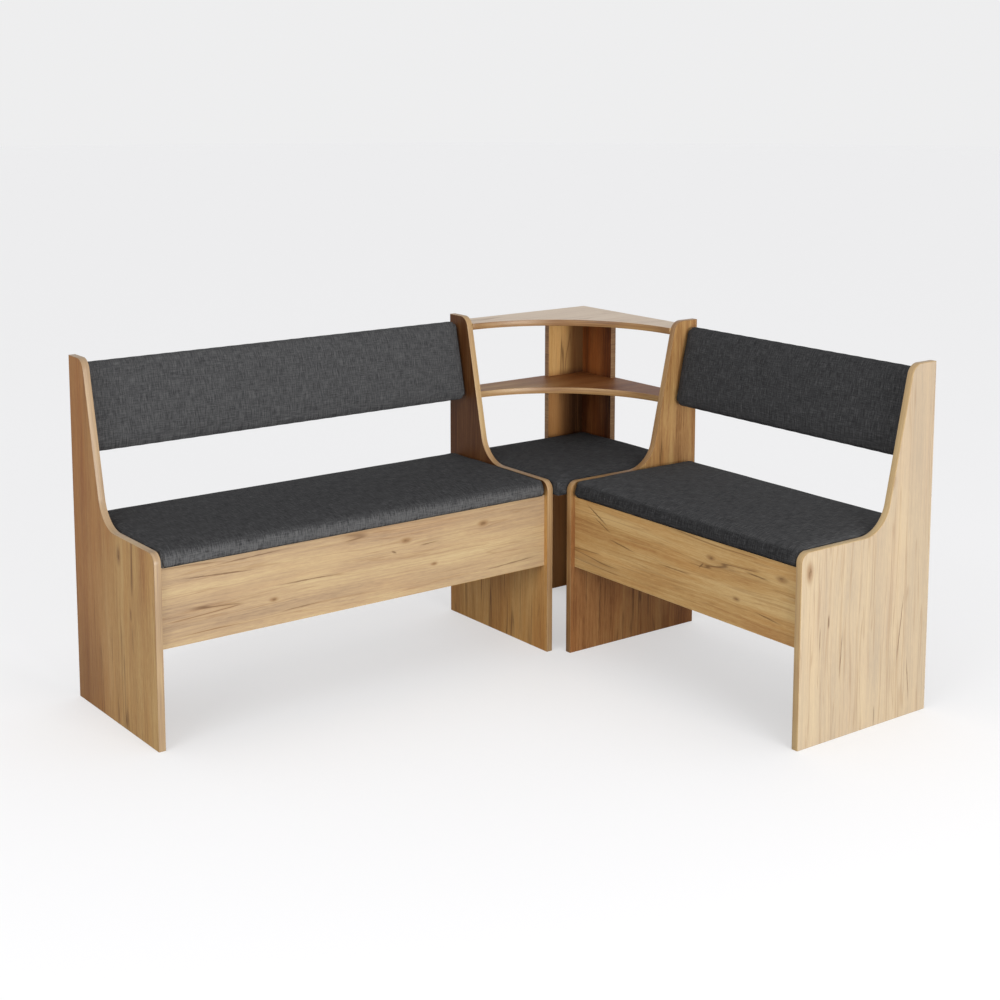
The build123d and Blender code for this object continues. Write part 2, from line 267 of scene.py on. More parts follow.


# A knot is its place along and across the grain and its size, and the grain bends round it.
# A crack is its place along and across, half length, half width, slope and strength.
# A shade is painted shade, a darker stretch where the board lies in shade: its strength, its tint,
# and on one axis or more where it starts and where it is full.
def oak(name, along, across, depth, shift=0.0, tone=0.0, paintedSheen=0.0, warmthAndShade=0.0, warm="warm",
        sheenTint="paintedSheen", paintedShades=(), contrast=1.0, split=0.56, knots=(), cracks=()):
    material, graph, axes = startMaterial(name)
    a = axes[along] + shift
    c = axes[across] + shift * 0.37     # so that the faces of one board differ too
    d = axes[depth] + shift * 0.53
    wander = oakLayer(graph, (a, c, d), oakLook["wanderScale"]) - 0.5
    flow = c + wander * oakLook["wanderWidth"]
    knotMask = 0.0
    for knotAlong, knotAcross, size in knots:
        aside = axes[across] - knotAcross + wander * 0.01
        far = (axes[along] - knotAlong) / (size * oakLook["knotLength"])
        off = aside / size
        near = graph.maths("EXPONENT", 0.0 - (far * far + off * off))
        flow = flow - aside * near * oakLook["knotBend"]
        knotMask = graph.maths("MAXIMUM", knotMask, near)
    layers = {layer: oakLayer(graph, (a, flow, d), **look) for layer, look in oakLayers.items()}
    broad, patch, streaks, fibre = [layers[layer] - 0.5 for layer in ("broad", "patch", "streaks", "fibre")]
    bent = broad * oakLook["ringBroad"] + patch * oakLook["ringPatch"]
    rings = (flow * oakLook["ringTurns"] + bent).sine() * 0.5
    figure = broad * oakLook["broadShare"] + patch * oakLook["patchShare"] + streaks * oakLook["streakShare"]
    fine = fibre * oakLook["fibreShare"] + rings * oakLook["ringShare"]
    tint = oakTint(graph, figure * contrast + fine + (oakLook["middle"] + tone))

    def toned(share, shade, blend="MIX"):
        return mixed(graph, share, tint, (*oakLook[shade], 1), blend)

    tint = toned(layers["glow"].fade(0.45, 0.75) * oakLook["glowShare"], "warm", "MULTIPLY")
    # Warmth is partly the print's own tone and partly painted shade: boards in shade are painted warmer and
    # darker
    tint = toned(warmthAndShade, warm, "MULTIPLY")
    # Painted shade: each shade multiplies the print darker where the board lies in shade
    for shadeShare, shade, *bounds in paintedShades:
        for axis, start, full in bounds:
            shadeShare = axes[axis].fade(start, full) * shadeShare
        tint = toned(shadeShare, shade, "MULTIPLY")
    poreMask = layers["pores"].fade(0.58, 0.72) * (0.5 + rings)
    tint = toned(poreMask * oakLook["poreShare"], "dark")
    # Painted sheen: a pale tint mixed over the print
    tint = toned(paintedSheen, sheenTint)
    gap = abs(layers["seam"] - 0.5)
    vein = abs(layers["vein"] - 0.5)
    parted = layers["region"].fade(split, split + 0.09)
    crackMask = (1.0 - gap.fade(0.0, oakLook["seamWidth"])) * parted * oakLook["seamShare"]
    seamStain = (1.0 - gap.fade(0.0, oakLook["seamStainWidth"])) * parted * oakLook["seamStain"]
    stain = seamStain + (1.0 - vein.fade(0.0, oakLook["veinWidth"])) * oakLook["veinStain"]
    knotStain = (knotMask + streaks * 0.6).fade(0.15, 0.95) * oakLook["knotStain"]
    stain = graph.maths("MAXIMUM", stain, knotStain)
    ragged = 1.0 + fibre * 2.0
    for crackAlong, crackAcross, halfLength, halfWidth, slope, strength in cracks:
        run = axes[along] - crackAlong
        off = abs(axes[across] - crackAcross - run * slope + wander * 0.01) / halfWidth
        reach = abs(run) / halfLength
        mark = (1.0 - (off * ragged).fade(0.1, 1.1)) * (1.0 - reach.fade(0.3, 1.1)) * strength
        crackMask = graph.maths("MAXIMUM", crackMask, mark)
    knotCore = (knotMask + fibre * 0.9).fade(0.78, 1.05) * oakLook["knotStain"]
    crackMask = graph.maths("MAXIMUM", crackMask, knotCore)
    tint = toned(stain, "dark")
    tint = toned(crackMask * oakLook["crackShare"], "crack")
    raw, rawHeight = chipTint(graph, axes)
    printed = facing(graph, depth).fade(0.4, 0.6)
    tint = mixed(graph, printed, raw, tint)
    height = printed * (1.0 - poreMask * 0.5 - crackMask) + (1.0 - printed) * rawHeight
    smoother = oakLook["edgeRoughness"] - oakLook["roughness"]
    gloss = oakLook["edgeRoughness"] - printed * (
        smoother - streaks * oakLook["streakGloss"] - poreMask * oakLook["poreGloss"])
    sockets = {"Base Color": tint, "Roughness": gloss, "Specular IOR Level": oakLook["specular"]}
    endMaterial(graph, sockets, (height, oakLook["bump"], oakLook["poreDepth"]))
    return material


# Edge bands carry the same print, finer, along the edge
def oakBand(name, thickness, tone=0.08, paintedSheen=0.0):
    material, graph, axes = startMaterial(name)
    fine = {axis: 520.0 if axis == thickness else 7.0 for axis in "XYZ"}
    place = vector(graph, *[axes[axis] * fine[axis] for axis in "XYZ"])
    streaks = cloudy(graph, place, 4.0, 0.6)
    broad = cloudy(graph, evenly(graph, axes, 5.0), 2.0)
    level = (streaks - 0.5) * 0.7 + (broad - 0.5) * 0.6 + 0.56 + tone
    # Painted sheen: a pale tint mixed over the band's print
    tint = mixed(graph, paintedSheen, oakTint(graph, level), (*oakLook["paintedSheen"], 1))
    gloss = 0.40 + (streaks - 0.5) * 0.1
    endMaterial(graph, {"Base Color": tint, "Roughness": gloss}, (streaks, 0.12, 0.0002))
    return material


# Anthracite slub weave: u runs along the piece, v wraps over its front edge.
# The painted front light: a level up to which the front of the cover is painted lighter or darker for the
# light that falls on it, one where that ends, the change of its threads and of its tone.
# Corner is where that painted change fades towards a rounded end, and where it is full.
clothLook = {
    "dark": colour(34, 34, 35),
    "mid": colour(58, 58, 59),
    "light": colour(92, 92, 92),
    "pitch": 0.0013,
    "roughness": 0.95,
    "specular": 0.12,
    "bump": 0.5,
    "bumpDepth": 0.0004,
}


def slubCloth(name, lengthwise, outward, tone=0.0, paintedFrontLight=None, corner=None):
    material, graph, axes = startMaterial(name)
    u = axes[lengthwise]
    v = axes[outward] + axes["Z"]
    turns = math.pi / clothLook["pitch"]
    bend = cloudy(graph, vector(graph, u * 60.0, v * 60.0, 0.0), 2.0) - 0.5
    warp = abs((u * turns + bend * 1.6).sine())
    weft = abs((v * turns + bend * 1.6).sine())
    over = ((u * turns).sine() * (v * turns).sine()).fade(-0.15, 0.15)
    warpTone = cloudy(graph, vector(graph, u * 620.0, v * 22.0, 0.0), 3.0, 0.6)
    weftTone = cloudy(graph, vector(graph, u * 22.0, v * 620.0, 4.0), 3.0, 0.6)
    warpSlub = cloudy(graph, vector(graph, u * 500.0, v * 36.0, 2.0), 2.0, 0.6) - 0.5
    weftSlub = cloudy(graph, vector(graph, u * 36.0, v * 500.0, 6.0), 2.0, 0.6) - 0.5
    mottle = cloudy(graph, vector(graph, u * 26.0, v * 26.0, 9.0), 3.0, 0.6) - 0.5
    thread = over * warpTone + (1.0 - over) * weftTone
    height = over * warp + (1.0 - over) * weft
    slub = (thread - 0.5) * 0.7 + warpSlub * 0.95 + weftSlub * 0.65 + mottle * 0.14
    level = slub + (height - 0.6) * 0.25 + 0.5 + tone
    # Painted light and shade: the front of the cover below a level is painted lighter or darker
    if paintedFrontLight:
        low, high, contrast, paintedLightShift = paintedFrontLight
        paintedFrontMask = 1.0 - axes["Z"].fade(low, high)
        if corner:
            paintedFrontMask = paintedFrontMask * u.fade(*corner)
        level = level + paintedFrontMask * (slub * contrast + paintedLightShift)
    stops = [(0.12, clothLook["dark"]), (0.5, clothLook["mid"]), (0.92, clothLook["light"])]
    sockets = {"Base Color": ramp(graph, stops, level), "Roughness": clothLook["roughness"],
               "Specular IOR Level": clothLook["specular"]}
    raised = height + (thread - 0.5) * 0.6 + warpSlub + weftSlub
    endMaterial(graph, sockets, (raised, clothLook["bump"], clothLook["bumpDepth"]))
    return material


def zincSteel(name):
    material, graph, axes = startMaterial(name)
    cloud = cloudy(graph, evenly(graph, axes, 220.0), 4.0, 0.6)
    stops = [(0.3, colour(150, 153, 158)), (0.7, colour(204, 206, 208))]
    tint = ramp(graph, stops, cloud)
    gloss = 0.26 + cloud * 0.22
    endMaterial(graph, {"Base Color": tint, "Metallic": 1.0, "Roughness": gloss}, (cloud, 0.08, 0.0002))
    return material


def chipboard(name):
    material, graph, axes = startMaterial(name)
    tint, height = chipTint(graph, axes)
    sockets = {"Base Color": tint, "Roughness": chipLook["roughness"]}
    endMaterial(graph, sockets, (height, chipLook["bump"], chipLook["bumpDepth"]))
    return material


def hardboardSheet(name):
    material, graph, axes = startMaterial(name)
    fibres = cloudy(graph, evenly(graph, axes, 340.0), 5.0, 0.7)
    stops = [(0.3, colour(92, 64, 40)), (0.7, colour(138, 100, 64))]
    tint = ramp(graph, stops, fibres)
    endMaterial(graph, {"Base Color": tint, "Roughness": 0.5 + fibres * 0.2}, (fibres, 0.15, 0.0002))
    return material


def plainBeech(name):
    material, graph, axes = startMaterial(name)
    streaks = cloudy(graph, vector(graph, axes["X"] * 60.0, axes["Y"] * 60.0, axes["Z"] * 240.0), 4.0, 0.6)
    flecks = cloudy(graph, vector(graph, axes["X"] * 400.0, axes["Y"] * 400.0, axes["Z"] * 900.0), 1.0)
    stops = [(0.25, colour(176, 130, 86)), (0.75, colour(220, 182, 136))]
    tint = ramp(graph, stops, streaks - flecks.fade(0.62, 0.7) * 0.2)
    endMaterial(graph, {"Base Color": tint, "Roughness": 0.6}, (flecks, 0.12, 0.0002))
    return material


mergeReach = 0.00002
smoothAngles = {"steel": 30, "band": 35, "cloth": 55}    # sharper edges stay sharp


def addPiece(name, shape, material=None):
    mesh = bpy.data.meshes.new(name)
    shape.to_mesh(mesh)
    shape.free()
    piece = bpy.data.objects.new(name, mesh)
    bpy.context.scene.collection.objects.link(piece)
    if material:
        mesh.materials.append(material)
    return piece


def smoothed(piece, finish):
    piece.data.shade_smooth()
    piece.data.set_sharp_from_angle(angle=math.radians(smoothAngles[finish]))


def applied(piece):
    graph = bpy.context.evaluated_depsgraph_get()
    mesh = bpy.data.meshes.new_from_object(piece.evaluated_get(graph))
    piece.modifiers.clear()
    piece.data = mesh


def cutAway(piece, cutterShape):
    cutter = addPiece("cutter", cutterShape)
    cut = piece.modifiers.new("cut", "BOOLEAN")
    cut.object = cutter
    cut.operation = "DIFFERENCE"
    cut.solver = "EXACT"
    applied(piece)
    bpy.data.objects.remove(cutter)


# Copies of a few meshes at several places, as one steel piece
def stamp(name, sources, places, body, replaced=None):
    shape = bmesh.new()
    for place in places:
        for source in sources:
            copy = source.data.copy()
            copy.transform(place)
            shape.from_mesh(copy)
            bpy.data.meshes.remove(copy)
    piece = addPiece(name, shape, steel)
    smoothed(piece, "steel")
    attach(piece, body)
    if replaced:
        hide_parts(replaced)


def paint(name, material):
    nodes[name].data.materials.clear()
    nodes[name].data.materials.append(material)


# A node's mesh with its corners merged, turned by a matrix
def flatCopy(node, flat=Matrix.Identity(4)):
    shape = bmesh.new()
    shape.from_mesh(nodes[node].data)
    bmesh.ops.remove_doubles(shape, verts=shape.verts, dist=mergeReach)
    bmesh.ops.transform(shape, matrix=flat, verts=shape.verts)
    return shape


def boxOf(verts):
    low = Vector([min(vert.co[i] for vert in verts) for i in range(3)])
    high = Vector([max(vert.co[i] for vert in verts) for i in range(3)])
    return low, high


# Each board has its own stretch of the print. Its tone and warmth are partly painted light and shade of where
# it stands, its shades are painted shade and its sheen is a painted sheen.
boards = {
    "long_inner_side": {
        "along": "Z", "across": "Y", "depth": "X", "shift": 2.3, "tone": 0.14, "warmthAndShade": 1.0,
        "paintedShades": ((0.97, "shadow", ("Z", 0.385, 0.43), ("X", 0.309, 0.304)),),
        "contrast": 1.1, "split": 0.5,
        "cracks": ((0.12, 0.54, 0.13, 0.0032, 0.02, 0.8), (0.14, 0.469, 0.1, 0.0028, -0.03, 0.8),
                   (0.16, 0.37, 0.09, 0.0024, 0.02, 0.75), (0.1, 0.305, 0.07, 0.0022, 0.0, 0.6)),
    },
    "long_outer_side": {
        "along": "Z", "across": "Y", "depth": "X", "shift": 5.1, "tone": 0.06, "warmthAndShade": 0.35,
        "paintedShades": ((0.6, "deep", ("Y", 0.3, 0.58)), (0.25, "shadow", ("Y", 0.42, 0.58), ("Z", 0.3, 0.05))),
        "contrast": 0.8,
        "knots": ((0.39, 0.373, 0.012),),
        "cracks": ((0.268, 0.316, 0.016, 0.003, 0.0, 0.9), (0.216, 0.31, 0.035, 0.002, 0.05, 0.8),
                   (0.17, 0.42, 0.055, 0.0018, -0.04, 0.7)),
    },
    "short_inner_side": {
        "along": "Z", "across": "X", "depth": "Y", "shift": 41.3, "tone": -0.09, "warmthAndShade": 0.35,
        "paintedShades": ((0.5, "deep", ("Z", 0.43, 0.3)),),
        "contrast": 1.1, "split": 0.5,
        "cracks": ((0.11, 0.435, 0.11, 0.0026, 0.03, 0.8), (0.12, 0.543, 0.11, 0.003, -0.03, 0.85),
                   (0.1, 0.596, 0.08, 0.0022, 0.02, 0.7), (0.12, 0.67, 0.1, 0.0028, 0.0, 0.7),
                   (0.16, 0.39, 0.07, 0.002, 0.0, 0.6)),
    },
    "short_outer_side": {
        "along": "Z", "across": "X", "depth": "Y", "shift": 11.9, "tone": -0.14, "paintedSheen": 0.5,
        "paintedShades": ((0.4, "deep", ("Z", 0.45, 0.6)),),
        "contrast": 0.8, "split": 0.68,
        "knots": ((0.387, 0.364, 0.013), (0.549, 0.618, 0.011)),
        "cracks": ((0.267, 0.427, 0.017, 0.003, 0.0, 0.9), (0.186, 0.468, 0.055, 0.0018, 0.06, 0.8),
                   (0.205, 0.659, 0.085, 0.0018, 0.12, 0.9), (0.083, 0.688, 0.055, 0.0018, -0.1, 0.8),
                   (0.233, 0.401, 0.03, 0.0018, 0.0, 0.6), (0.02, 0.579, 0.028, 0.0018, 0.0, 0.75)),
    },
    "long_front_apron": {
        "along": "X", "across": "Z", "depth": "Y", "shift": 14.2, "tone": -0.05, "paintedSheen": 0.25, "split": 0.6,
        "knots": ((0.112, 0.356, 0.009), (-0.11, 0.352, 0.008), (-0.031, 0.281, 0.005),
                  (-0.46, 0.276, 0.006)),
        "cracks": ((-0.143, 0.329, 0.008, 0.0034, -0.4, 0.8), (-0.592, 0.358, 0.1, 0.002, -0.053, 0.8),
                   (-0.51, 0.383, 0.09, 0.0018, 0.03, 0.7), (-0.37, 0.305, 0.09, 0.0021, -0.02, 0.75),
                   (-0.393, 0.2465, 0.055, 0.0019, 0.02, 0.7), (-0.045, 0.335, 0.03, 0.0019, 0.04, 0.7),
                   (0.2, 0.243, 0.09, 0.002, 0.05, 0.75)),
    },
    "short_front_apron": {
        "along": "Y", "across": "Z", "depth": "X", "shift": 17.6, "tone": 0.14, "warmthAndShade": 0.4,
        "contrast": 1.25,
        "knots": ((-0.322, 0.354, 0.008), (-0.539, 0.357, 0.009), (-0.403, 0.28, 0.006)),
        "cracks": ((-0.291, 0.33, 0.009, 0.0036, -0.8, 0.85), (-0.465, 0.347, 0.04, 0.0024, 0.05, 0.8),
                   (0.07, 0.365, 0.04, 0.003, 0.5, 0.9), (0.05, 0.345, 0.035, 0.0024, 0.42, 0.8),
                   (-0.02, 0.312, 0.05, 0.0022, 0.12, 0.8), (-0.2, 0.3, 0.055, 0.002, 0.0, 0.7),
                   (-0.5, 0.262, 0.045, 0.0024, 0.1, 0.7)),
    },
    "long_rear_rail": {"along": "X", "across": "Z", "depth": "Y", "shift": 20.4},
    "short_rear_rail": {"along": "Y", "across": "Z", "depth": "X", "shift": 23.8},
    "post_long_wall_board": {
        "along": "Z", "across": "X", "depth": "Y", "shift": 26.1, "tone": 0.38, "warmthAndShade": 0.9,
        "paintedShades": ((0.9, "shadow", ("X", 0.66, 0.705)), (0.55, "deep", ("Z", 0.62, 0.59)),
                   (0.75, "shadow", ("X", 0.635, 0.675), ("Z", 0.62, 0.59), ("Z", 0.38, 0.42))),
        "contrast": 1.3,
    },
    "post_short_wall_board": {
        "along": "Z", "across": "Y", "depth": "X", "shift": 29.3, "tone": -0.2,
        "warmthAndShade": 1.0, "warm": "deep", "paintedShades": ((0.6, "shadow", ("Z", 0.62, 0.59)),),
        "contrast": 1.6, "split": 0.45,
    },
    "top_shelf": {
        "along": "X", "across": "Y", "depth": "Z", "shift": 32.5, "tone": 0.4, "paintedSheen": 0.7, "sheenTint": "hazySheen",
        "contrast": 1.8,
    },
    "middle_shelf": {
        "along": "X", "across": "Y", "depth": "Z", "shift": 35.7, "tone": 0.0, "warmthAndShade": 0.4, "warm": "deep",
        "paintedShades": ((0.8, "deep", ("X", 0.4, 0.62)),), "contrast": 1.3,
    },
}
for name, look in boards.items():
    paint(name, oak("oak_" + name, **look))

# The long seat's front is painted lighter and the short seat's front painted darker, for the light falling on
# them
cloths = {
    "long_seat": {"lengthwise": "X", "outward": "Y", "tone": -0.03, "paintedFrontLight": (0.415, 0.431, 0.8, 0.29)},
    "long_back": {"lengthwise": "X", "outward": "Y", "tone": 0.1},
    "short_seat": {
        "lengthwise": "Y", "outward": "X", "tone": 0.04, "paintedFrontLight": (0.424, 0.434, 0.4, -0.28),
        "corner": (-0.588, -0.562),
    },
    "short_back": {"lengthwise": "Y", "outward": "X", "tone": -0.05},
    "corner_seat": {"lengthwise": "Y", "outward": "X", "tone": -0.06},
}
steel = zincSteel("zinc_steel")
bareChip = chipboard("bare_chipboard")
brownBoard = hardboardSheet("hardboard_sheet")
beech = plainBeech("plain_beech")
others = {
    "corner_seat_board": bareChip,
    "corner_seat_cleats": beech,
    "shelf_dowels": beech,
    "post_screws": steel,
}
for bench in ("long", "short"):
    others[bench + "_seat_board"] = bareChip
    others[bench + "_back_board"] = bareChip
    others[bench + "_chest_bottom"] = brownBoard
    for part in ("rail_leaves", "seat_leaves", "pins"):
        others[bench + "_hinge_" + part] = steel
    for part in ("back_brackets", "cams", "cam_bolts"):
        others[bench + "_" + part] = steel
for name, material in others.items():
    paint(name, material)
print("materials set")


# Edge bands with broken arrises, as the trimmer leaves them
bandLook = {"arris": 0.0003, "segments": 2, "sharpAngle": 60, "flatAngle": 1}
# A band's paler mix is a painted sheen
bands = {
    "long_inner_side_band": {"thickness": "X", "tone": -0.14, "paintedSheen": 0.08},
    "long_outer_side_band": {"thickness": "X", "tone": -0.18, "paintedSheen": 0.22},
    "short_inner_side_band": {"thickness": "Y", "tone": -0.26},
    "short_outer_side_band": {"thickness": "Y", "tone": 0.02, "paintedSheen": 0.1},
    "long_apron_band": {"thickness": "Y"},
    "short_apron_band": {"thickness": "X"},
    "post_bands": {"thickness": "Z", "tone": -0.36},
    "top_shelf_band": {"thickness": "Z", "tone": -0.32},
    "middle_shelf_band": {"thickness": "Z", "tone": -0.2},
}


def trimBand(node, material):
    shape = flatCopy(node)
    flatLimit = math.radians(bandLook["flatAngle"])
    bmesh.ops.dissolve_limit(shape, angle_limit=flatLimit, verts=shape.verts, edges=shape.edges)
    limit = math.radians(bandLook["sharpAngle"])
    sharp = [edge for edge in shape.edges if edge.is_manifold and edge.calc_face_angle() > limit]
    bmesh.ops.bevel(
        shape, geom=sharp, offset=bandLook["arris"], offset_type="OFFSET", affect="EDGES",
        segments=bandLook["segments"], profile=0.5, material=-1, clamp_overlap=True)
    bmesh.ops.triangulate(shape, faces=[face for face in shape.faces if len(face.verts) > 4])
    piece = addPiece(node + "_trimmed", shape, material)
    smoothed(piece, "band")
    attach(piece, "frame")
    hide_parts(node)


for name, look in bands.items():
    trimBand(name, oakBand("oak_" + name, **look))
print("edge bands trimmed:", len(bands))


# Five pads: foam under a stretched cover, swollen by a short cloth simulation.
# Each is worked lying flat with its face up, then turned to where its solid stands.
lean = math.radians(12.4)
longBack = (0, -math.cos(lean), math.sin(lean))
shortBack = (-math.cos(lean), 0, math.sin(lean))
pads = {
    "long_seat": {"body": "long_seat", "face": (0, 0, 1), "puff": 0.0065, "turnIn": True},
    "short_seat": {"body": "short_seat", "face": (0, 0, 1), "puff": 0.0065, "turnIn": True},
    "corner_seat": {"body": "frame", "face": (0, 0, 1), "puff": 0.0065, "turnIn": False},
    "long_back": {"body": "frame", "face": longBack, "puff": 0.002, "turnIn": True},
    "short_back": {"body": "frame", "face": shortBack, "puff": 0.002, "turnIn": True},
}
padLook = {
    "voxel": 0.0065,
    "pressure": 4.0,
    "quality": 4,
    "frames": 16,
    "cap": 0.0025,              # most that a point may move
    "boardPlay": 0.0003,
    "recessMargin": 0.0005,
    "sideTop": 0.75,            # share of the height where the side ends and the crown starts
    "sideFoot": 0.02,
    "unevenness": 0.0006,       # hand-stretched cover
    "unevenSize": 0.11,
    "staplePitch": 0.042,       # pulls of the staples under the edge
    "staplePull": 0.0007,
    "foldWidth": 0.0036,        # crease of the folded cover at each corner
    "foldReach": 0.022,
    "foldDepth": 0.0032,
}


def flatten(look):
    return Vector(look["face"]).rotation_difference(Vector((0, 0, 1))).to_matrix().to_4x4()


def swell(piece, boardTop):
    start = [vert.co.copy() for vert in piece.data.vertices]
    group = piece.vertex_groups.new(name="held")
    group.add([i for i, co in enumerate(start) if co.z < boardTop], 1.0, "REPLACE")
    cloth = piece.modifiers.new("swell", "CLOTH")
    cloth.settings.quality = padLook["quality"]
    cloth.settings.use_pressure = True
    cloth.settings.uniform_pressure_force = padLook["pressure"]
    cloth.settings.vertex_group_mass = "held"
    cloth.settings.effector_weights.gravity = 0
    cloth.collision_settings.use_collision = False
    cloth.point_cache.frame_start = 1
    cloth.point_cache.frame_end = padLook["frames"]
    for step in range(1, padLook["frames"] + 1):
        bpy.context.scene.frame_set(step)
    applied(piece)
    piece.vertex_groups.clear()
    for vert, origin in zip(piece.data.vertices, start):
        move = vert.co - origin
        if move.length > padLook["cap"]:
            vert.co = origin + move * (padLook["cap"] / move.length)
    bpy.context.scene.frame_set(1)


# Remeshing and swelling change the form a little, so it is drawn to the solid's box again,
# with its crown higher by the puff, so that its soft edge stands as high as the solid's
def fitPad(pad, low, high):
    shape = bmesh.new()
    shape.from_mesh(pad.data)
    newLow, newHigh = boxOf(shape.verts)
    ratio = [(high[i] - low[i]) / (newHigh[i] - newLow[i]) for i in range(3)]
    bmesh.ops.translate(shape, verts=shape.verts, vec=-newLow)
    bmesh.ops.scale(shape, vec=ratio, verts=shape.verts)
    bmesh.ops.translate(shape, verts=shape.verts, vec=low)
    shape.to_mesh(pad.data)
    shape.free()


# Small pulls and folds of a cover that was stretched and stapled by hand
def dressPad(pad, low, high):
    middle = (low + high) / 2
    tall = high.z - low.z
    for vert in pad.data.vertices:
        co = vert.co
        rise = (co.z - low.z) / tall
        if rise > padLook["sideTop"]:
            co.z += noise.noise(co / padLook["unevenSize"]) * padLook["unevenness"]
            continue
        if rise < padLook["sideFoot"]:
            continue
        toEndX = min(co.x - low.x, high.x - co.x)
        toEndY = min(co.y - low.y, high.y - co.y)
        inwardX = 1 if co.x < middle.x else -1
        inwardY = 1 if co.y < middle.y else -1
        if toEndX + toEndY < padLook["foldReach"]:
            offset = (toEndX - toEndY) / padLook["foldWidth"]
            fold = padLook["foldDepth"] * math.exp(-offset * offset) * (1 - rise * rise)
            co.x += inwardX * fold
            co.y += inwardY * fold
            continue
        pull = padLook["staplePull"] * (1 - rise / padLook["sideTop"])
        if toEndY < toEndX:
            co.y += inwardY * pull * (0.5 + 0.5 * math.cos(math.tau * co.x / padLook["staplePitch"]))
        else:
            co.x += inwardX * pull * (0.5 + 0.5 * math.cos(math.tau * co.y / padLook["staplePitch"]))


# The board sits in the underside of its pad
def boardRoom(boardLow, boardHigh):
    size = boardHigh - boardLow
    play = 2 * padLook["boardPlay"]
    shape = bmesh.new()
    bmesh.ops.create_cube(shape, size=1.0)
    bmesh.ops.scale(shape, vec=(size.x + play, size.y + play, 2 * size.z), verts=shape.verts)
    middle = (boardLow + boardHigh) / 2
    bmesh.ops.translate(shape, verts=shape.verts, vec=(middle.x, middle.y, boardLow.z))
    return shape


# Cover turned under the board, with a hand-cut inner edge
turnInLook = {
    "width": 0.042, "thick": 0.0002, "inset": 0.0055, "step": 0.012,
    "waver": 0.0025, "waverScale": 24,
    "staple": (0.01, 0.0012, 0.0005), "stapleRound": 0.3, "stapleSpot": 0.7, "clear": 0.006,
    "stapleTurn": 0.25, "stapleTurnStep": 2.4,
}


# Four strips as (start corner, length, axis along, side of the inner edge)
def turnInStrips(low, high):
    wide = turnInLook["width"]
    inset = turnInLook["inset"]
    x0, x1 = low.x + inset, high.x - inset
    y0, y1 = low.y + inset, high.y - inset
    return (
        (Vector((x0, y0, low.z)), x1 - x0, Vector((1, 0, 0)), Vector((0, 1, 0))),
        (Vector((x0, y1, low.z)), x1 - x0, Vector((1, 0, 0)), Vector((0, -1, 0))),
        (Vector((x0, y0 + wide, low.z)), y1 - y0 - 2 * wide, Vector((0, 1, 0)), Vector((1, 0, 0))),
        (Vector((x1, y0 + wide, low.z)), y1 - y0 - 2 * wide, Vector((0, 1, 0)), Vector((-1, 0, 0))),
    )


def turnIn(pad, low, high):
    cover = bmesh.new()
    cover.from_mesh(pad.data)
    for start, length, along, inward in turnInStrips(low, high):
        strip = bmesh.new()
        bmesh.ops.create_grid(strip, x_segments=round(length / turnInLook["step"]), y_segments=1, size=0.5)
        for vert in strip.verts:
            run = (vert.co.x + 0.5) * length
            depth = turnInLook["width"] if vert.co.y > 0 else 0.0
            spot = start + along * run
            if depth:
                depth += noise.noise(spot * turnInLook["waverScale"]) * turnInLook["waver"]
            vert.co = spot + inward * depth
        under = bmesh.ops.extrude_face_region(strip, geom=strip.faces[:])
        moved = [part for part in under["geom"] if isinstance(part, bmesh.types.BMVert)]
        bmesh.ops.translate(strip, verts=moved, vec=(0, 0, -turnInLook["thick"]))
        bmesh.ops.recalc_face_normals(strip, faces=strip.faces)
        holder = bpy.data.meshes.new("strip")
        strip.to_mesh(holder)
        strip.free()
        cover.from_mesh(holder)
        bpy.data.meshes.remove(holder)
    cover.to_mesh(pad.data)
    cover.free()


def makeStaple():
    size = turnInLook["staple"]
    shape = bmesh.new()
    bmesh.ops.create_cube(shape, size=1.0, matrix=Matrix.Diagonal((*size, 1)))
    longEdges = [edge for edge in shape.edges if edge.calc_length() > size[1]]
    bmesh.ops.bevel(
        shape, geom=longEdges, offset=size[2] * turnInLook["stapleRound"], affect="EDGES", segments=2,
        profile=0.5, material=-1, clamp_overlap=True)
    return addPiece("staple", shape)


# Staples lie in from the edge, and none where the seat rests on apron or rail
def stapleRow(name, look, low, high):
    bench = name.split("_")[0]
    rests = []
    if name.endswith("seat"):
        rests = [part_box(bench + "_front_apron"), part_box(bench + "_rear_rail")]
    drop = Vector((0, 0, turnInLook["thick"] + turnInLook["staple"][2] / 2))
    clear = turnInLook["clear"]
    upright = flatten(look).inverted()
    places = []
    for start, length, along, inward in turnInStrips(low, high):
        count = round(length / padLook["staplePitch"])
        for number in range(1, count):
            spot = start + along * (length * number / count)
            spot += inward * (turnInLook["width"] * turnInLook["stapleSpot"]) - drop
            if any(all(a[i] - clear < spot[i] < b[i] + clear for i in (0, 1)) for a, b in rests):
                continue
            skew = turnInLook["stapleTurn"] * math.sin(number * turnInLook["stapleTurnStep"])
            turn = Matrix.Rotation(math.atan2(along.y, along.x) + skew, 4, "Z")
            places.append(upright @ Matrix.Translation(spot) @ turn)
    stamp(name + "_staples", (staple,), places, look["body"])


